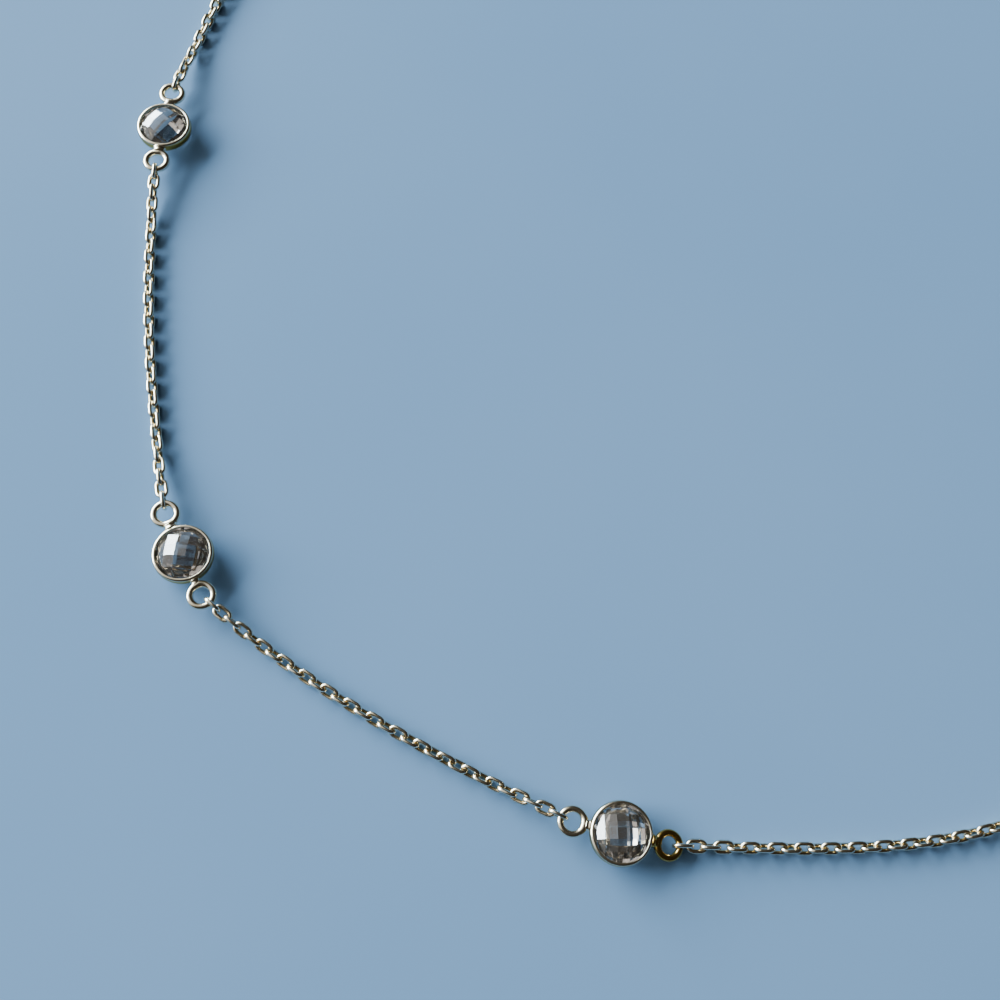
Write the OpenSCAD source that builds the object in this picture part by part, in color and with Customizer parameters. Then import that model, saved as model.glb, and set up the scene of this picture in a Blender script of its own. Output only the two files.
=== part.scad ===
// A station necklace: a fine oval-link chain joined through round stones in
// metal rims, closed by a ring clasp and lying on a surface as one loop.
// The loop lies in X and Y with Z up, and every size is in millimetres.

/* [Stations] */
// Outside diameter of a rim
rim_d = 6; // [5.9:0.05:6.1]
// Height of a rim
rim_h = 1.15; // [1.1:0.05:1.2]
// Thickness of a stone from its lower table to its upper one
stone_h = 2.9; // [2.8:0.05:3]
// Side of one square facet, and so of the table
facet = 1.1; // [1.09:0.01:1.14]
// Wire of the bails
bail_wire = 0.62; // [0.56:0.01:0.63]
// Outside diameter of a bail
bail_d = 2.9; // [2.8:0.05:3]

/* [Chain] */
// Outside length of a link
link_l = 2.16; // [2.14:0.01:2.2]
// Outside width of a link
link_w = 1.36; // [1.34:0.01:1.4]
// Outside width of the rounder link at each end of a strand
end_link_w = 1.54; // [1.53:0.01:1.58]
// Wire of the links
link_wire = 0.35; // [0.32:0.01:0.36]
// Length over which a strand comes down from a bail to the surface
fall_l = 8; // [6:0.5:10]

/* [Clasp] */
// Outside diameter of the clasp
clasp_d = 5.8; // [5.6:0.1:6]
// Wire of the clasp
clasp_wire = 0.9; // [0.8:0.05:0.95]
// Outside diameter of the clasp's eye
eye_d = 2.4; // [2.3:0.1:2.5]
// Outside diameter of the ring that the clasp holds
ring_d = 3.8; // [3.7:0.1:4]
// Wire of the eye and of that ring
ring_wire = 0.5; // [0.4:0.05:0.55]

/* [Hidden] */
$fn = 32;

metal = [0.84, 0.73, 0.5];
glass = [0.88, 0.92, 0.95];

// Stations in order round the loop.
// Columns: x, y, direction of the axis, turn of the stone's facets, dip of the second bail
stations = [
    [-58.5,  17.3,  -95.0,  50,  0],
    [-51.5, -33.2,  -62.5,  -5,  0],
    [ -9.0, -59.3,  -13.0,   0, 13],
    [ 39.7, -51.8,   41.5,  30,  4],
    [ 57.0,  -5.0,   81.5,  12,  0],
    [ 57.4,  33.6,  107.5, -20,  0],
    [ 16.8,  58.8,  173.5,  65,  6],
    [-34.0,  58.9,  198.5,   5,  0]
];

// How the links of a strand turn about its run: link number, turn beyond the quarter turn each
even_turn = [[0, 0], [7, 45], [23, 45], [30, 0]];
slow_turn = [[0, 0], [5, 32], [17, 34], [22, 56], [30, 0]];
low_turn = [[0, 0], [5, 34], [25, 34], [30, 0]];

// Strands of the chain between stations.
// Columns: from, to, direction as it leaves, direction as it arrives,
// first pull and second pull of its curve as shares of the span, turn of its links
strands = [
    [0, 1,  -91.0,  -76.0, 0.33, 0.33, even_turn],
    [1, 2,  -40.5,  -24.5, 0.33, 0.33, slow_turn],
    [2, 3,   -1.5,   33.0, 0.39, 0.29, low_turn],
    [3, 4,   49.5,   81.0, 0.35, 0.35, even_turn],
    [5, 6,  115.0,  172.5, 0.38, 0.38, even_turn],
    [6, 7,  174.0,  192.0, 0.33, 0.33, slow_turn],
    [7, 0,  206.0,  257.5, 0.34, 0.44, even_turn]
];
links_per_strand = 31;
clasp_links = [7, 8];

// Heights
rim_z = stone_h / 2;
clearance = 0.18;

// Rim: a barrel-shaped outer wall with a round lip above and below the stone
lip_r = 0.13;
barrel_r = 1.15;
barrel_x = rim_d / 2 - barrel_r;
lip_y = rim_h / 2 - lip_r;
lip_x = barrel_x + sqrt(pow(barrel_r - lip_r, 2) - lip_y * lip_y);
seat_r = rim_d / 2 - 0.25;

// Stone: facets between the corners of a square grid laid over a dome
girdle_r = seat_r - 0.05;
girdle_z = 0.22;
grid_n = 5;
dome_k = (stone_h / 2 - girdle_z) / (girdle_r * girdle_r - facet * facet / 2);

// Bails stand on the rim's outer wall, joined by a short neck of solder
bail_r = (bail_d - bail_wire) / 2;
bail_reach = 0.2 + bail_d / 2;
neck_r = 0.46;

// Links and what they hang on
link_r = (link_w - link_wire) / 2;
end_hang = (link_l - end_link_w) / 2;

// Clasp: its far side is lifted over the wire of the ring that it holds
clasp_r = (clasp_d - clasp_wire) / 2;
eye_r = (eye_d - ring_wire) / 2;
ring_r = (ring_d - ring_wire) / 2;
clasp_low = clasp_wire / 2;
clasp_high = ring_wire + clearance + clasp_wire / 2;
clasp_tilt = asin((clasp_high - clasp_low) / (2 * clasp_r));
clasp_z = (clasp_low + clasp_high) / 2;
clasp_place = [58.55, 14];
clasp_dir = 89;
eye_x = clasp_r + eye_r + 0.36;
eye_lift = 0.53;
eye_z = clasp_z - eye_x * sin(clasp_tilt) + eye_lift * cos(clasp_tilt);
ring_lean = 50;
ring_z = ring_r * sin(ring_lean) + ring_wire / 2;

// Points and directions in plan
function heading(a) = [cos(a), sin(a)];
function dip_of(i) = stations[i][4];
function place(i) = [stations[i][0], stations[i][1]];
function axis_of(i) = stations[i][2];
function bail_in(i) = place(i) - (rim_d / 2 + bail_reach) * heading(axis_of(i));
function bail_out(i) = place(i) + (rim_d / 2 + bail_reach * cos(dip_of(i))) * heading(axis_of(i));
function bail_out_z(i) = rim_z - (bail_reach + bail_r) * sin(dip_of(i));
clasp_eye = clasp_place - eye_x * cos(clasp_tilt) * heading(clasp_dir);
clasp_hook = clasp_place + clasp_r * cos(clasp_tilt) * heading(clasp_dir);

// A run is a curve in plan with a height at each end.
// Columns: four control points, height and reach of the wire it hangs on at each end
function pulls(a, b, leave, arrive, first, second) =
    let(span = norm(b - a))
    [a, a + first * span * heading(leave), b - second * span * heading(arrive), b];
function strand_run(s) = [
    pulls(bail_out(s[0]), bail_in(s[1]), s[2], s[3], s[4], s[5]),
    [bail_out_z(s[0]), bail_r * cos(dip_of(s[0]))], [rim_z, bail_r]
];
clasp_runs = [
    [
        pulls(bail_out(4), clasp_eye, 84, clasp_dir, 0.33, 0.33),
        [bail_out_z(4), bail_r], [eye_z, eye_r]
    ],
    [
        pulls(clasp_hook, bail_in(5), clasp_dir, 91, 0.33, 0.33),
        [ring_z, ring_r], [rim_z, bail_r]
    ]
];
clasp_turn_1 = [[0, 0], [2, 18], [4, 18], [6, 0]];
clasp_turn_2 = [[0, ring_lean - 180], [7, -90]];

// Point of a curve at t from 0 to 1
function curve(c, t) =
    let(u = 1 - t)
    u * u * u * c[0] + 3 * u * u * t * c[1] + 3 * u * t * t * c[2] + t * t * t * c[3];

// Table of length along a curve against t, from short chords
steps = 60;
function lengths(c, i = 0, sum = 0) =
    i > steps ? [] : let(
        step = i == 0 ? 0 : norm(curve(c, i / steps) - curve(c, (i - 1) / steps))
    ) concat([[sum + step, i / steps]], lengths(c, i + 1, sum + step));

// Share of its height that a strand keeps at distance d from what it hangs on
function kept(d) = d <= 0 ? 1 : d >= fall_l ? 0 : (1 + cos(180 * d / fall_l)) / 2;

// Height of a strand at rest, where its lowest wire is just over the surface
float = 0.01;
function rest_z(turn) = float + link_wire / 2 + link_r * max(abs(sin(turn)), abs(cos(turn)));

// Centre of the strand at distance s along it
function along(run, table, s, turn) =
    let(
        total = table[steps][0],
        p = curve(run[0], lookup(s, table)),
        low = rest_z(turn),
        start = (run[1][0] - low) * kept(s - run[1][1]),
        end = (run[2][0] - low) * kept(total - s - run[2][1])
    ) [p[0], p[1], low + start + end];

module link(width) {
    straight = link_l - width;
    r = (width - link_wire) / 2;
    for (side = [-1, 1]) {
        translate([side * straight / 2, 0, 0])
            rotate([0, 0, -90 * side])
                rotate_extrude(angle = 180)
                    translate([r, 0])
                        circle(d = link_wire);
        translate([0, side * r, 0])
            rotate([0, 90, 0])
                cylinder(d = link_wire, h = straight, center = true);
    }
}

// Links placed along a run, each a quarter turn from the last
module strand(run, count, turn) {
    table = lengths(run[0]);
    first = run[1][1] + end_hang;
    last = table[steps][0] - run[2][1] - end_hang;
    pitch = (last - first) / (count - 1);
    color(metal)
        for (i = [0 : count - 1]) {
            s = first + i * pitch;
            extra = lookup(i, turn);
            p = along(run, table, s, extra);
            ahead = along(run, table, s + pitch / 2, extra);
            behind = along(run, table, s - pitch / 2, extra);
            d = ahead - behind;
            translate(p)
                rotate([0, -atan2(d[2], norm([d[0], d[1]])), atan2(d[1], d[0])])
                    rotate([90 * (i + 1) + extra, 0, 0])
                        link(i == 0 || i == count - 1 ? end_link_w : link_w);
        }
}

module torus(r, wire) {
    rotate_extrude()
        translate([r, 0])
            circle(d = wire);
}

module bail(side, dip) {
    translate([side * rim_d / 2, 0, 0])
        rotate([0, side * dip, 0]) {
            translate([side * bail_reach, 0, 0])
                torus(bail_r, bail_wire);
            translate([side * (bail_reach - bail_r - 0.3) / 2, 0, 0])
                rotate([0, 90, 0])
                    cylinder(r = neck_r, h = bail_reach - bail_r + 0.1, center = true);
        }
}

module rim_profile() {
    intersection() {
        translate([barrel_x, 0])
            circle(r = barrel_r);
        translate([seat_r, -lip_y])
            square([rim_d / 2, 2 * lip_y]);
    }
    for (side = [-1, 1])
        translate([lip_x, side * lip_y])
            circle(r = lip_r);
}

module bezel(i) {
    color(metal)
        translate([place(i)[0], place(i)[1], rim_z])
            rotate([0, 0, axis_of(i)])
                difference() {
                    union() {
                        rotate_extrude()
                            rim_profile();
                        bail(-1, 0);
                        bail(1, dip_of(i));
                    }
                    cylinder(r = seat_r, h = lip_y, center = true);
                }
}

// Half of a stone: corner heights follow a dome, so each square of the grid is flat
module crown() {
    cells = [0 : grid_n];
    side = grid_n + 1;
    top = [
        for (j = cells, i = cells)
            let(
                x = (i - grid_n / 2) * facet,
                y = (j - grid_n / 2) * facet
            ) [x, y, stone_h / 2 - dome_k * (x * x + y * y - facet * facet / 2)]
    ];
    base = [for (p = top) [p[0], p[1], -stone_h]];
    n = side * side;
    squares = [0 : grid_n - 1];
    polyhedron(
        points = concat(top, base),
        faces = concat(
            [for (j = squares, i = squares) let(a = j * side + i) [a, a + side, a + side + 1, a + 1]],
            [for (j = squares, i = squares) let(a = n + j * side + i) [a, a + 1, a + side + 1, a + side]],
            [for (i = squares) [i, i + 1, n + i + 1, n + i]],
            [for (i = squares) let(a = n - side + i) [a + 1, a, n + a, n + a + 1]],
            [for (j = squares) let(a = j * side) [a + side, a, n + a, n + a + side]],
            [for (j = squares) let(a = j * side + grid_n) [a, a + side, n + a + side, n + a]]
        )
    );
}

module stone(i) {
    color(glass)
        translate([place(i)[0], place(i)[1], rim_z])
            rotate([0, 0, stations[i][3]])
                intersection() {
                    crown();
                    mirror([0, 0, 1])
                        crown();
                    cylinder(r = girdle_r, h = stone_h, center = true);
                }
}

module clasp() {
    color(metal)
        translate([clasp_place[0], clasp_place[1], clasp_z])
            rotate([0, -clasp_tilt, clasp_dir]) {
                torus(clasp_r, clasp_wire);
                translate([-eye_x, 0, eye_lift])
                    rotate([0, clasp_tilt, 0])
                        torus(eye_r, ring_wire);
            }
}

module clasp_ring() {
    color(metal)
        translate([clasp_hook[0], clasp_hook[1], ring_z])
            rotate([0, 0, clasp_dir])
                rotate([ring_lean, 0, 0])
                    torus(ring_r, ring_wire);
}

for (i = [0 : len(stations) - 1]) {
    bezel(i);
    stone(i);
}
for (k = [0 : len(strands) - 1])
    strand(strand_run(strands[k]), links_per_strand, strands[k][6]);
strand(clasp_runs[0], clasp_links[0], clasp_turn_1);  // clasp_chain_1
strand(clasp_runs[1], clasp_links[1], clasp_turn_2);  // clasp_chain_2
clasp();
clasp_ring();
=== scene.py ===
import bmesh
import bpy
import numpy as np
from mathutils import Matrix, Vector


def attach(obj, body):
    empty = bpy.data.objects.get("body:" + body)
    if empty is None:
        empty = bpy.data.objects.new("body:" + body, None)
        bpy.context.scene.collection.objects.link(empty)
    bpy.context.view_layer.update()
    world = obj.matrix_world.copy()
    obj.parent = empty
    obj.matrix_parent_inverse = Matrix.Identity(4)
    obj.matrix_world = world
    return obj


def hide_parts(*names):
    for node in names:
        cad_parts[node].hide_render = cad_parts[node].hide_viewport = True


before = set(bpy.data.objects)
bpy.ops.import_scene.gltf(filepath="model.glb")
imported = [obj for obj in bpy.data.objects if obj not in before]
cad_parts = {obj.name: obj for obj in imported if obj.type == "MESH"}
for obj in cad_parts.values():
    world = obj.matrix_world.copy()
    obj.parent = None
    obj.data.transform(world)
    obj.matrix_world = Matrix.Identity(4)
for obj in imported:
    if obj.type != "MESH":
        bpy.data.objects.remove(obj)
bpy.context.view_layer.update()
mm = 0.001  # sizes of the pieces are in millimetres, and their meshes take metres
rng = np.random.default_rng(7)
scene = bpy.context.scene
print("frame loaded")


# materials
def newMaterial(name):
    mat = bpy.data.materials.new(name)
    mat.use_nodes = True
    nodes = mat.node_tree.nodes
    return mat, nodes, mat.node_tree.links, nodes["Principled BSDF"]


def noiseOf(nodes, links, coords, scale, detail, rough=0.55):
    n = nodes.new("ShaderNodeTexNoise")
    n.inputs["Scale"].default_value = scale
    n.inputs["Detail"].default_value = detail
    n.inputs["Roughness"].default_value = rough
    links.new(coords, n.inputs["Vector"])
    return n.outputs["Fac"]


def rampOf(nodes, links, value, stops):
    ramp = nodes.new("ShaderNodeValToRGB")
    links.new(value, ramp.inputs["Fac"])
    els = ramp.color_ramp.elements
    for el, (pos, col) in zip(els, (stops[0], stops[-1])):
        el.position, el.color = pos, (*col, 1.0)
    for pos, col in stops[1:-1]:
        els.new(pos).color = (*col, 1.0)
    return ramp.outputs["Color"]


def spreadOf(nodes, links, value, low, high):
    spread = nodes.new("ShaderNodeMapRange")
    spread.inputs["To Min"].default_value = low
    spread.inputs["To Max"].default_value = high
    links.new(value, spread.inputs["Value"])
    return spread.outputs["Result"]


# pale and warm are the gold's own colours, spread by noise; the third colour is a darker gold that
# paints shade
goldSet = dict(
    pale=(0.90, 0.84, 0.68), warm=(0.84, 0.74, 0.53), shadedGold=(0.50, 0.32, 0.07),
    patches=900.0,  # noise scale, patches of about a millimetre
    haze=6000.0,    # noise scale of the polishing marks
    rough=(0.17, 0.23), bump=0.03, bumpDeep=0.02,
)


def goldMaterial(name, s):
    mat, nodes, links, shader = newMaterial(name)
    coords = nodes.new("ShaderNodeTexCoord").outputs["Object"]
    broad = noiseOf(nodes, links, coords, s["patches"], 3.0)
    tint = rampOf(nodes, links, broad, [(0.35, s["pale"]), (0.7, s["warm"])])
    paintedShade = nodes.new("ShaderNodeAttribute")  # painted shade: 0 keeps the gold's own colour, 1 paints it the darker gold of shade
    paintedShade.attribute_name = "paintedShade"
    mix = nodes.new("ShaderNodeMix")
    mix.data_type = "RGBA"
    links.new(paintedShade.outputs["Fac"], mix.inputs["Factor"])
    links.new(tint, mix.inputs["A"])
    mix.inputs["B"].default_value = (*s["shadedGold"], 1.0)
    links.new(mix.outputs["Result"], shader.inputs["Base Color"])
    fine = noiseOf(nodes, links, coords, s["haze"], 5.0, 0.6)
    links.new(spreadOf(nodes, links, fine, *s["rough"]), shader.inputs["Roughness"])
    bump = nodes.new("ShaderNodeBump")
    bump.inputs["Strength"].default_value = s["bump"]
    bump.inputs["Distance"].default_value = s["bumpDeep"] * mm
    links.new(fine, bump.inputs["Height"])
    links.new(bump.outputs["Normal"], shader.inputs["Normal"])
    shader.inputs["Metallic"].default_value = 1.0
    return mat


clearSet = dict(
    light=(0.87, 0.80, 0.74), dark=(0.79, 0.72, 0.66), cloud=700.0, haze=4000.0,
    rough=(0.0, 0.03), ior=2.05, clear=0.975,
)


def stoneMaterial(s):
    mat, nodes, links, shader = newMaterial("cutStone")
    coords = nodes.new("ShaderNodeTexCoord").outputs["Object"]
    cloud = noiseOf(nodes, links, coords, s["cloud"], 2.0)
    tint = rampOf(nodes, links, cloud, [(0.3, s["light"]), (0.75, s["dark"])])
    links.new(tint, shader.inputs["Base Color"])
    haze = noiseOf(nodes, links, coords, s["haze"], 3.0)
    links.new(spreadOf(nodes, links, haze, *s["rough"]), shader.inputs["Roughness"])
    shader.inputs["IOR"].default_value = s["ior"]
    shader.inputs["Transmission Weight"].default_value = s["clear"]
    return mat


goldRim = goldMaterial("goldRim", goldSet)
goldChain = goldMaterial("goldChain", dict(goldSet, rough=(0.18, 0.26)))
cutStone = stoneMaterial(clearSet)
print("materials done")


# mesh helpers
def addPiece(name, me, mat, node):
    me.materials.append(mat)
    ob = bpy.data.objects.new(name, me)
    scene.collection.objects.link(ob)
    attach(ob, "root")
    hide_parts(node)


def metalPiece(name, verts, quads, paintedShade, mat, node):
    me = bpy.data.meshes.new(name)
    verts = np.asarray(verts, dtype=np.float32) * mm
    quads = np.asarray(quads, dtype=np.int32)
    me.vertices.add(len(verts))
    me.vertices.foreach_set("co", verts.ravel())
    me.loops.add(quads.size)
    me.loops.foreach_set("vertex_index", quads.ravel())
    me.polygons.add(len(quads))
    starts = np.arange(0, quads.size, quads.shape[1], dtype=np.int32)
    me.polygons.foreach_set("loop_start", starts)
    me.update(calc_edges=True)
    me.validate()
    me.polygons.foreach_set("use_smooth", np.full(len(me.polygons), True))
    # painted shade mask, one value per point, read by the gold material
    shade = me.attributes.new("paintedShade", "FLOAT", "POINT")
    paintedShade = np.broadcast_to(paintedShade, (len(verts),))
    shade.data.foreach_set("value", paintedShade.astype(np.float32))
    addPiece(name, me, mat, node)


def gridQuads(nu, nv):
    # a grid closed both ways: point (u, v) is number u * nv + v, and each quad joins
    # it to the next point along u, the next along both, and the next along v
    u, v = np.meshgrid(np.arange(nu), np.arange(nv), indexing="ij")
    uNext, vNext = (u + 1) % nu, (v + 1) % nv
    corners = [u * nv + v, uNext * nv + v, uNext * nv + vNext, u * nv + vNext]
    return np.stack(corners, -1).reshape(-1, 4)


def neckQuads(nu, nv):
    # side of an open tube of nu rings, numbered as in gridQuads, and across each end
    # strips that join point k of the ring to point nv - 1 - k
    u, v = np.meshgrid(np.arange(nu - 1), np.arange(nv), indexing="ij")
    vNext = (v + 1) % nv
    corners = [u * nv + v, (u + 1) * nv + v, (u + 1) * nv + vNext, u * nv + vNext]
    k = np.arange(nv // 2 - 1)
    cap = np.stack([k, k + 1, nv - 2 - k, nv - 1 - k], -1)
    return np.vstack([np.stack(corners, -1).reshape(-1, 4), cap, cap[:, ::-1] + (nu - 1) * nv])


def joinParts(parts):
    verts, quads, n = [], [], 0
    for v, q in parts:
        verts.append(v.reshape(-1, 3))
        quads.append(q + n)
        n += len(verts[-1])
    return np.vstack(verts), np.vstack(quads)


def turnMatrix(rx=0.0, ry=0.0, rz=0.0):
    aboutX, aboutY, aboutZ = [Matrix.Rotation(np.radians(angle), 3, axis)
                              for angle, axis in ((rx, "X"), (ry, "Y"), (rz, "Z"))]
    return np.array(aboutZ @ aboutY @ aboutX)


def heading(a):
    return np.array([np.cos(np.radians(a)), np.sin(np.radians(a))])


def hump(x, at, over):
    # e to the minus square of the distance from the middle, in units of over
    return np.exp(-((x - at) / over) ** 2)


def tubeLoop(path, wire, around):
    # closed tube about a loop: each point is the path's point plus the wire's radius times
    # (cos a along the loop's outward side + sin a along z), for a from 0 to a full turn
    normal = np.array([0, 0, 1.0])
    ahead = np.roll(path, -1, 0) - np.roll(path, 1, 0)
    ahead /= np.linalg.norm(ahead, axis=1, keepdims=True)
    out = np.cross(ahead, normal)
    a = np.linspace(0, 2 * np.pi, around, endpoint=False)
    wire = np.broadcast_to(wire, (len(path),))[:, None, None]
    ring = np.cos(a)[None, :, None] * out[:, None, :] + np.sin(a)[None, :, None] * normal
    return path[:, None, :] + wire * ring, gridQuads(len(path), around)


def ringTube(r, wire, steps, around):
    # tube about a circle: the path's point is r times (cos t, sin t, 0)
    t = np.linspace(0, 2 * np.pi, steps, endpoint=False)
    return tubeLoop(r * np.c_[np.cos(t), np.sin(t), 0 * t], wire, around)


# where the stations lie: x, y, direction of the axis, turn of the stone's facets,
# dip of the second bail, share of solder on the first and on the second bail
stations = np.array([
    [-58.5, 17.3, -95.0, 50, 0, 1.0, 1.1],
    [-51.5, -33.2, -62.5, -5, 0, 1.1, 0.8],
    [-9.0, -59.3, -13.0, 0, 13, 0.9, 0.95],
    [39.7, -51.8, 41.5, 30, 4, 1.05, 0.85],
    [57.0, -5.0, 81.5, 12, 0, 0.9, 1.0],
    [57.4, 33.6, 107.5, -20, 0, 1.0, 0.9],
    [16.8, 58.8, 173.5, 65, 6, 0.85, 1.05],
    [-34.0, 58.9, 198.5, 5, 0, 1.0, 1.0],
])


# rims
rimSet = dict(
    outer=3.0, barrel=1.15, wallTop=0.33, wallSteps=9, midZ=1.45,
    lipAt=(2.775, 0.455), lipWide=0.17, lipThick=0.105, lipLean=25.0, lipFrom=235, lipSteps=14,
    seat=2.75, seatZ=(-0.32, -0.1, 0.1, 0.32), steps=120,
    wander=0.006, wanderIn=2.80, wanderOver=0.12,  # how the lip's inner edge wanders
    shadeIn=0.10, shadeOver=0.06,                    # where the painted shade on the outer wall starts, and the width over which it deepens
)


def rimBody(s, seed):
    # a profile turned about z, each point at (r cos t, r sin t, z). The profile is a lip, an
    # ellipse (wide cos a, thick sin a) leaning outward; a wall, an arc of radius barrel;
    # the same lip below; and the straight seat inside
    a = np.linspace(np.radians(s["lipFrom"]), 0, s["lipSteps"])
    c, sn = heading(s["lipLean"])
    lip = np.c_[s["lipWide"] * np.cos(a), s["lipThick"] * np.sin(a)]
    lip = s["lipAt"] + lip @ np.array([[c, -sn], [sn, c]])
    top = np.arcsin(s["wallTop"] / s["barrel"])
    b = np.linspace(top, -top, s["wallSteps"])
    wall = np.array([s["outer"] - s["barrel"], 0]) + s["barrel"] * np.c_[np.cos(b), np.sin(b)]
    seat = np.c_[np.full(len(s["seatZ"]), s["seat"]), s["seatZ"]]
    prof = np.vstack([lip, wall, lip[::-1] * [1, -1], seat])
    t = np.linspace(0, 2 * np.pi, s["steps"], endpoint=False)
    # the lip is pushed over the stone by hand, so its inner edge wanders: a sum of
    # cosines of 2 to 8 turns round the rim, with drawn heights and starts
    local = np.random.default_rng(seed)
    wave = sum(local.normal(0, s["wander"]) * np.cos(k * t + local.uniform(0, 6.3))
               for k in range(2, 9))
    push = np.clip((s["wanderIn"] - prof[:, 0]) / s["wanderOver"], 0, 1)
    push = push * (np.abs(prof[:, 1]) > s["wallTop"])
    r = prof[None, :, 0] + wave[:, None] * push[None, :]
    z = np.broadcast_to(prof[None, :, 1], r.shape)
    v = np.stack([r * np.cos(t)[:, None], r * np.sin(t)[:, None], z], -1)
    # painted shade: the outer wall is painted the darker gold, from a little inside the outer
    # radius outward
    paintedShade = np.clip((prof[:, 0] - s["outer"] + s["shadeIn"]) / s["shadeOver"], 0, 1)
    return v, gridQuads(len(t), len(prof))[:, ::-1], np.tile(paintedShade, len(t))


# bails, with the solder that joins them to the rim
bailSet = dict(
    r=1.14, wire=0.335, reach=1.65, steps=72, around=18, swell=0.22, swellOver=0.42,
    neck=0.52, neckFrom=-0.22, neckTo=0.46, neckSteps=18, neckAround=28, tip=0.05,
    foot=0.10, footAt=-0.02, cuff=0.04, cuffAt=0.38, blend=0.15,
    lumpTwo=0.05, lumpThree=0.03, wide=1.06, high=0.94, paintedShade=0.05, shadePerDip=0.07,
)


def bailParts(s, side, dip, solder, seed):
    # ring: a tube about a circle, its wire swollen by a hump in angle beside the solder
    local = np.random.default_rng(seed)
    t = np.linspace(0, 2 * np.pi, s["steps"], endpoint=False)
    near = np.pi if side > 0 else 0.0
    off = np.abs((t - near + np.pi) % (2 * np.pi) - np.pi)
    wire = s["wire"] * (1 + s["swell"] * hump(off, 0, s["swellOver"]))
    ring, ringFaces = ringTube(s["r"], wire, s["steps"], s["around"])
    ring = ring + [side * s["reach"], 0, 0]
    # solder: a radius turned about x, the neck plus a hump at the wall and one on the ring,
    # made lumpy by cosines of two and three turns, and closed by a small flat tip
    nu, nv = s["neckSteps"], s["neckAround"]
    x = np.linspace(s["neckFrom"], s["neckTo"], nu)
    r = s["neck"] + s["foot"] * hump(x, s["footAt"], s["blend"])
    r = (r + s["cuff"] * hump(x, s["cuffAt"], s["blend"])) * solder
    r[0] = r[-1] = s["tip"]
    a = np.linspace(0, 2 * np.pi, nv, endpoint=False)
    lump = 1 + s["lumpTwo"] * np.cos(2 * a + local.uniform(0, 6.3)) + s["lumpThree"] * np.cos(3 * a)
    neck = np.stack([
        np.broadcast_to(side * x[:, None], (nu, nv)),
        s["wide"] * r[:, None] * lump * np.cos(a),
        s["high"] * r[:, None] * lump * np.sin(a),
    ], -1)
    neckFaces = neckQuads(nu, nv)
    if side > 0:
        neckFaces = neckFaces[:, ::-1]  # mirrored to the other side, so turned back outward
    m = turnMatrix(ry=side * dip)
    place = np.array([side * rimSet["outer"], 0, 0])
    # painted shade: every bail gets a little of the darker gold, and a bail that dips towards the
    # floor gets more for each degree of dip
    paintedShade = s["paintedShade"] + s["shadePerDip"] * dip
    return [(part.reshape(-1, 3) @ m.T + place, faces, np.full(part.size // 3, paintedShade))
            for part, faces in ((ring, ringFaces), (neck, neckFaces))]


for i, (x, y, axis, turn, dip, solderIn, solderOut) in enumerate(stations, 1):
    parts = [rimBody(rimSet, i)]
    parts += bailParts(bailSet, -1, 0.0, solderIn, 10 + i)
    parts += bailParts(bailSet, 1, dip, solderOut, 20 + i)
    v, q = joinParts([part[:2] for part in parts])
    v = v @ turnMatrix(rz=axis).T + [x, y, rimSet["midZ"]]
    paintedShade = np.concatenate([part[2] for part in parts])
    metalPiece("rim_%d" % i, v, q, paintedShade, goldRim, "bezel_%d" % i)
print("rims done")


# stones, cut plane by plane
stoneSet = dict(
    height=2.9, girdle=2.70, girdleZ=0.22, facet=1.1, rows=5, sides=72,
    block=8.0, touch=1e-6, merge=1e-4,
)


def cutStoneMesh(s):
    # a block cut by flat planes. Above and below, one plane for each square of a grid
    # touches the dome z = half the height - k * (x squared + y squared) at the square's
    # middle, with k set so that the dome reaches girdleZ at the girdle; upright planes
    # at equal angles cut the round girdle
    bm = bmesh.new()
    bmesh.ops.create_cube(bm, size=s["block"])
    k = (s["height"] / 2 - s["girdleZ"]) / (s["girdle"] ** 2 - s["facet"] ** 2 / 2)
    mid = (np.arange(s["rows"]) - (s["rows"] - 1) / 2) * s["facet"]
    planes = []
    for cx in mid:
        for cy in mid:
            top = s["height"] / 2 - k * (cx * cx + cy * cy)
            for up in (1, -1):
                planes.append(((cx, cy, up * top), (2 * k * cx, 2 * k * cy, up)))
    for a in np.linspace(0, 2 * np.pi, s["sides"], endpoint=False):
        d = (np.cos(a), np.sin(a), 0)
        planes.append(((s["girdle"] * d[0], s["girdle"] * d[1], 0), d))
    for co, no in planes:
        geom = bm.verts[:] + bm.edges[:] + bm.faces[:]
        cut = bmesh.ops.bisect_plane(bm, geom=geom, dist=s["touch"], plane_co=co, plane_no=no,
                                     clear_outer=True)
        edges = [e for e in cut["geom_cut"] if isinstance(e, bmesh.types.BMEdge)]
        if edges:
            bmesh.ops.holes_fill(bm, edges=edges, sides=0)
    bmesh.ops.remove_doubles(bm, verts=bm.verts[:], dist=s["merge"])
    bmesh.ops.recalc_face_normals(bm, faces=bm.faces[:])
    return bm


pattern = cutStoneMesh(stoneSet)
for i, (x, y, axis, turn) in enumerate(stations[:, :4], 1):
    one = pattern.copy()
    place = Matrix.Translation(Vector((x, y, rimSet["midZ"])) * mm)
    one.transform(place @ Matrix.Rotation(np.radians(turn), 4, "Z") @ Matrix.Scale(mm, 4))
    me = bpy.data.meshes.new("stone_%d_cut" % i)
    one.to_mesh(me)
    one.free()
    addPiece("gem_%d" % i, me, cutStone, "stone_%d" % i)
pattern.free()
print("stones done")


# chain: the links' places follow the same curves as the solids
linkSet = dict(
    length=2.19, width=1.40, endWidth=1.54, wire=0.22, bend=7, around=6, count=31,
    fall=8.0, lift=0.01,  # length over which a strand comes down, and its height off the floor
    kink=2.2, insideShade=0.9,   # spread of the links' roll in degrees, and how dark the painted shade inside the links is
)
# roll of a strand's links beyond a quarter turn each: link number, degrees
evenTurn = [[0, 0], [7, 45], [23, 45], [30, 0]]
slowTurn = [[0, 0], [5, 32], [17, 34], [22, 56], [30, 0]]
lowTurn = [[0, 0], [5, 34], [25, 34], [30, 0]]
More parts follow.
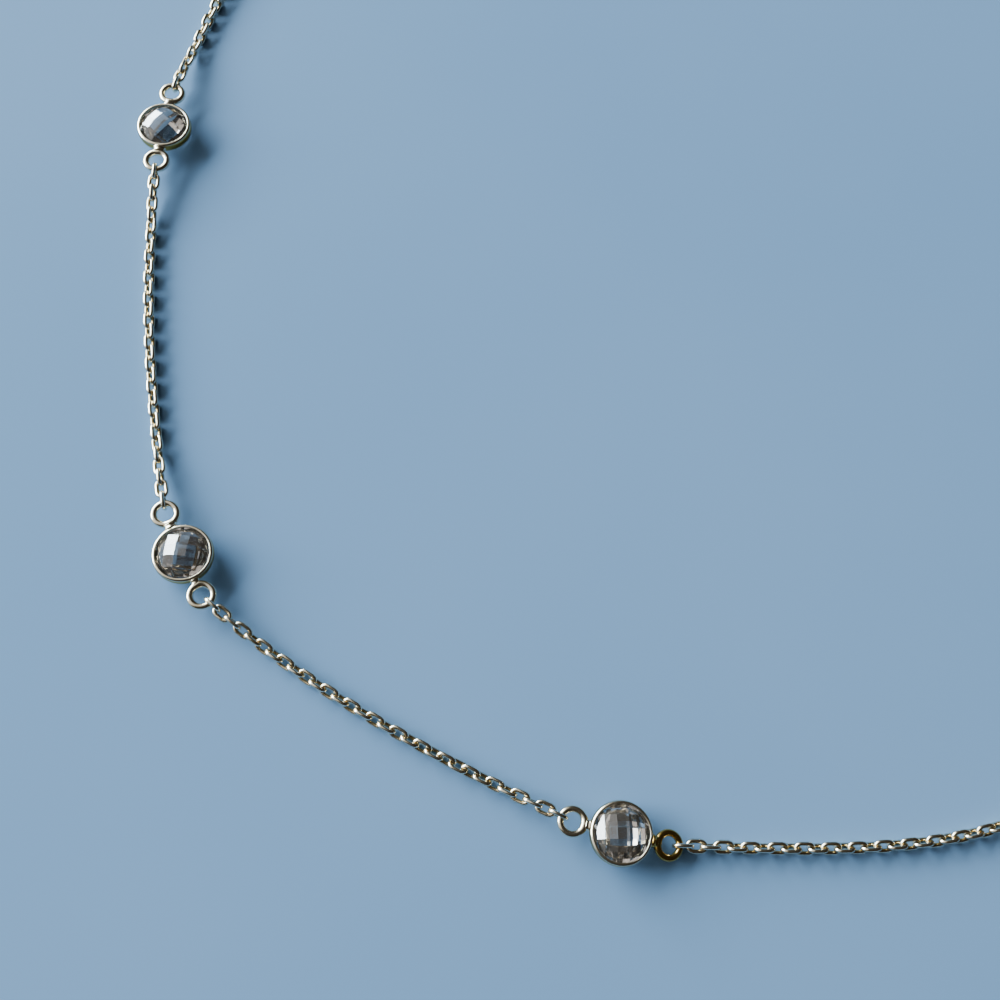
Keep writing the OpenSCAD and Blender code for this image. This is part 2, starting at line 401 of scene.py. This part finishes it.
# from station, to station, heading at the start and the end, pull of the curve at each, roll
strands = [
    [0, 1, -91.0, -76.0, 0.33, 0.33, evenTurn],
    [1, 2, -40.5, -24.5, 0.33, 0.33, slowTurn],
    [2, 3, -1.5, 33.0, 0.39, 0.29, lowTurn],
    [3, 4, 49.5, 81.0, 0.35, 0.35, evenTurn],
    [5, 6, 115.0, 172.5, 0.38, 0.38, evenTurn],
    [6, 7, 174.0, 192.0, 0.33, 0.33, slowTurn],
    [7, 0, 206.0, 257.5, 0.34, 0.44, evenTurn],
]


def bailIn(i):
    s = stations[i]
    return s[:2] - (rimSet["outer"] + bailSet["reach"]) * heading(s[2])


def bailOut(i):
    s = stations[i]
    return s[:2] + (rimSet["outer"] + bailSet["reach"] * np.cos(np.radians(s[4]))) * heading(s[2])


def bailOutZ(i):
    dip = np.radians(stations[i][4])
    return rimSet["midZ"] - (bailSet["reach"] + bailSet["r"]) * np.sin(dip)


def curveRun(a, b, leave, arrive, first, second, steps=241):
    # cubic curve from a to b: its two handles lie along the headings, each a share of the
    # straight distance long. With it comes the length run up to each point
    span = np.linalg.norm(b - a)
    p = [a, a + first * span * heading(leave), b - second * span * heading(arrive), b]
    t = np.linspace(0, 1, steps)[:, None]
    pts = (1 - t) ** 3 * p[0] + 3 * (1 - t) ** 2 * t * p[1]
    pts = pts + 3 * (1 - t) * t * t * p[2] + t ** 3 * p[3]
    return pts, np.r_[0, np.cumsum(np.linalg.norm(np.diff(pts, axis=0), axis=1))]


def oneLink(width, s):
    # tube about an oval: two half circles of the middle of the wire, joined by straights
    r = (width - 2 * s["wire"]) / 2
    half = (s["length"] - width) / 2
    a = np.linspace(-np.pi / 2, np.pi / 2, s["bend"])
    right = np.c_[half + r * np.cos(a), r * np.sin(a), 0 * a]
    return tubeLoop(np.vstack([right, -right]), s["wire"], s["around"])


def chainStrand(name, node, run, ends, count, turns, s):
    # links at even steps along the run, each rolled a quarter turn from the last plus the
    # strand's own roll and a small drawn kink. The height is that of a link lying on the
    # floor, raised near each end by half of (1 + cosine) of the way down
    pts, dist = run
    (z0, r0), (z1, r1) = ends
    hang = (s["length"] - s["endWidth"]) / 2
    first, last = r0 + hang, dist[-1] - r1 - hang
    pitch = (last - first) / (count - 1)
    bendR = s["width"] / 2 - s["wire"]

    def kept(d):
        return (1 + np.cos(np.pi * np.clip(d, 0, s["fall"]) / s["fall"])) / 2

    def along(d, angle):
        edge = np.maximum(abs(np.sin(angle)), abs(np.cos(angle)))
        low = s["lift"] + s["wire"] + bendR * edge
        z = low + (z0 - low) * kept(d - r0) + (z1 - low) * kept(dist[-1] - d - r1)
        return np.c_[np.interp(d, dist, pts[:, 0]), np.interp(d, dist, pts[:, 1]), z]

    n = np.arange(count)
    inner = (n > 0) & (n < count - 1)
    extra = np.interp(n, *np.transpose(turns)) + inner * rng.normal(0, s["kink"], count)
    angle = np.radians(extra)
    where = first + n * pitch
    centre = along(where, angle)
    ahead = along(where + pitch / 2, angle) - along(where - pitch / 2, angle)
    ahead /= np.linalg.norm(ahead, axis=1, keepdims=True)
    side = np.cross([0, 0, 1.0], ahead)
    side /= np.linalg.norm(side, axis=1, keepdims=True)
    up = np.cross(ahead, side)
    roll = np.radians(90 * (n + 1) + extra)[:, None]
    yAxis = np.cos(roll) * side + np.sin(roll) * up
    frames = np.stack([ahead, yAxis, np.cross(ahead, yAxis)], 1)
    parts = []
    for i in range(count):
        v, q = oneLink(s["width"] if inner[i] else s["endWidth"], s)
        parts.append((v.reshape(-1, 3) @ frames[i] + centre[i], q))
    v, q = joinParts(parts)
    # painted shade: the inside of each link is painted a darker gold than its outside
    a = np.linspace(0, 2 * np.pi, s["around"], endpoint=False)
    paintedShade = np.tile(s["insideShade"] * np.clip(-np.cos(a), 0, 1), len(v) // s["around"])
    metalPiece(name, v, q, paintedShade, goldChain, node)


for k, (a, b, leave, arrive, pullA, pullB, turns) in enumerate(strands, 1):
    run = curveRun(bailOut(a), bailIn(b), leave, arrive, pullA, pullB)
    dipped = bailSet["r"] * np.cos(np.radians(stations[a][4]))
    ends = ((bailOutZ(a), dipped), (rimSet["midZ"], bailSet["r"]))
    chainStrand("links_%d" % k, "chain_%d" % k, run, ends, linkSet["count"], turns, linkSet)
print("strands done")


# clasp, its ring and the short stretches to it
claspSet = dict(
    place=np.array([58.55, 14.0]), turn=89.0, r=2.45, wire=0.45, bodySteps=(96, 20),
    eyeR=0.95, eyeOut=0.36, eyeLift=0.53, eyeSteps=(48, 14),
    ringR=1.65, ringWire=0.25, ringSteps=(72, 14), lean=50.0, clear=0.18,
    leave=84, arrive=91, pull=0.33, countIn=7, countOut=8,
    turnsIn=[[0, 0], [2, 18], [4, 18], [6, 0]],
)


def claspPieces(s):
    # the clasp is a tube about a circle, tilted so that it leans from the floor onto its
    # ring's wire: the sine of the tilt is the rise over the clasp's width. Its eye is a
    # smaller such tube on its low side, and the ring one that leans round its high side
    low, high = s["wire"], 2 * s["ringWire"] + s["clear"] + s["wire"]
    tilt = np.degrees(np.arcsin((high - low) / (2 * s["r"])))
    c, sn = heading(tilt)
    z = (low + high) / 2
    eyeX = s["r"] + s["eyeR"] + s["eyeOut"]
    eye, eyeFaces = ringTube(s["eyeR"], s["ringWire"], *s["eyeSteps"])
    eye = eye.reshape(-1, 3) @ turnMatrix(ry=tilt).T + [-eyeX, 0, s["eyeLift"]]
    v, q = joinParts([ringTube(s["r"], s["wire"], *s["bodySteps"]), (eye, eyeFaces)])
    v = v @ turnMatrix(ry=-tilt, rz=s["turn"]).T + [*s["place"], z]
    metalPiece("clasp_body", v, q, 0.0, goldRim, "clasp")

    hook = s["place"] + s["r"] * c * heading(s["turn"])
    ringZ = s["ringR"] * np.sin(np.radians(s["lean"])) + s["ringWire"]
    ring, ringFaces = ringTube(s["ringR"], s["ringWire"], *s["ringSteps"])
    m = turnMatrix(rz=s["turn"]) @ turnMatrix(rx=s["lean"])
    v = ring.reshape(-1, 3) @ m.T + [*hook, ringZ]
    metalPiece("clasp_loop", v, ringFaces, 0.0, goldRim, "clasp_ring")

    eyePlace = s["place"] - eyeX * c * heading(s["turn"])
    eyeZ = z - eyeX * sn + s["eyeLift"] * c
    run = curveRun(bailOut(4), eyePlace, s["leave"], s["turn"], s["pull"], s["pull"])
    ends = ((bailOutZ(4), bailSet["r"]), (eyeZ, s["eyeR"]))
    chainStrand("links_clasp_1", "clasp_chain_1", run, ends, s["countIn"], s["turnsIn"], linkSet)
    run = curveRun(hook, bailIn(5), s["turn"], s["arrive"], s["pull"], s["pull"])
    ends = ((ringZ, s["ringR"]), (rimSet["midZ"], bailSet["r"]))
    turnsOut = [[0, s["lean"] - 180], [s["countOut"] - 1, -90]]
    chainStrand("links_clasp_2", "clasp_chain_2", run, ends, s["countOut"], turnsOut, linkSet)


claspPieces(claspSet)
print("clasp done")


# floor, light, room and camera: the floor and the light are in metres
floorSet = dict(
    half=3.0, light=(0.12, 0.225, 0.38), dark=(0.135, 0.24, 0.395), patches=12.0,
    rough=0.9, gloss=0.2,
)


def floorPiece(s):
    # one flat square at z = 0, half a side each way from the middle
    me = bpy.data.meshes.new("floor")
    w = s["half"]
    me.from_pydata([(-w, -w, 0), (w, -w, 0), (w, w, 0), (-w, w, 0)], [], [(0, 1, 2, 3)])
    mat, nodes, links, shader = newMaterial("paleFloor")
    coords = nodes.new("ShaderNodeTexCoord").outputs["Object"]
    cloud = noiseOf(nodes, links, coords, s["patches"], 3.0)
    tint = rampOf(nodes, links, cloud, [(0.3, s["light"]), (0.7, s["dark"])])
    links.new(tint, shader.inputs["Base Color"])
    shader.inputs["Roughness"].default_value = s["rough"]
    shader.inputs["Specular IOR Level"].default_value = s["gloss"]
    me.materials.append(mat)
    ob = bpy.data.objects.new("floor", me)
    scene.collection.objects.link(ob)


windowSet = dict(
    at=(-1.475, 0.817, 0.631), size=(2.12, 0.83), power=205.0, tint=(0.80, 0.94, 1.0),
)


def windowLight(s):
    data = bpy.data.lights.new("windowLight", "AREA")
    data.shape = "RECTANGLE"
    data.size, data.size_y = s["size"]
    data.energy = s["power"]
    data.color = s["tint"]
    ob = bpy.data.objects.new("windowLight", data)
    ob.location = s["at"]
    ob.visible_camera = False
    ob.rotation_euler = (-Vector(s["at"])).to_track_quat("-Z", "Y").to_euler()
    scene.collection.objects.link(ob)


roomSet = dict(
    toWindow=(-0.81, 0.34, 0.48),
    mirrored=[(0.0, (0.03, 0.026, 0.022)), (0.60, (0.05, 0.045, 0.04)),
              (0.72, (0.85, 0.84, 0.82)), (1.0, (1.25, 1.22, 1.18))],
    wall=[(0.0, (0.16, 0.23, 0.31)), (0.3, (0.42, 0.50, 0.58))],
)


def paleRoom(s):
    # seen straight on, the room is a pale wall; the metal and stones mirror a dim room,
    # bright where the ray's dot product with the way to the window is high
    world = bpy.data.worlds.new("studio")
    world.use_nodes = True
    nodes, links = world.node_tree.nodes, world.node_tree.links
    aim = nodes.new("ShaderNodeTexCoord").outputs["Generated"]
    near = nodes.new("ShaderNodeVectorMath")
    near.operation = "DOT_PRODUCT"
    near.inputs[1].default_value = s["toWindow"]
    links.new(aim, near.inputs[0])
    mirrored = nodes["Background"]
    tint = rampOf(nodes, links, near.outputs["Value"], s["mirrored"])
    links.new(tint, mirrored.inputs["Color"])
    wall = nodes.new("ShaderNodeBackground")
    height = nodes.new("ShaderNodeSeparateXYZ")
    links.new(aim, height.inputs["Vector"])
    tint = rampOf(nodes, links, height.outputs["Z"], s["wall"])
    links.new(tint, wall.inputs["Color"])
    pick = nodes.new("ShaderNodeMixShader")
    links.new(nodes.new("ShaderNodeLightPath").outputs["Is Camera Ray"], pick.inputs["Fac"])
    links.new(mirrored.outputs["Background"], pick.inputs[1])
    links.new(wall.outputs["Background"], pick.inputs[2])
    links.new(pick.outputs["Shader"], nodes["World Output"].inputs["Surface"])
    scene.world = world


camSet = dict(
    place=(-28.0, -64.2, 105.44), right=(0.99726, 0.0, 0.07401),
    ahead=(0.06964, 0.33836, -0.93844), focal=1.083, sensor=36.0, near=0.002, far=20.0,
)


def photoCamera(s):
    data = bpy.data.cameras.new("camera")
    data.sensor_width = s["sensor"]
    data.lens = s["focal"] * s["sensor"]  # the focal length is a share of the picture's width
    data.clip_start, data.clip_end = s["near"], s["far"]
    cam = bpy.data.objects.new("camera", data)
    ahead, right = Vector(s["ahead"]).normalized(), Vector(s["right"]).normalized()
    turned = Matrix((right, right.cross(ahead), -ahead)).transposed().to_4x4()
    cam.matrix_world = Matrix.Translation(Vector(s["place"]) * mm) @ turned
    scene.collection.objects.link(cam)
    scene.camera = cam


floorPiece(floorSet)
windowLight(windowSet)
paleRoom(roomSet)
photoCamera(camSet)
print("stage done")
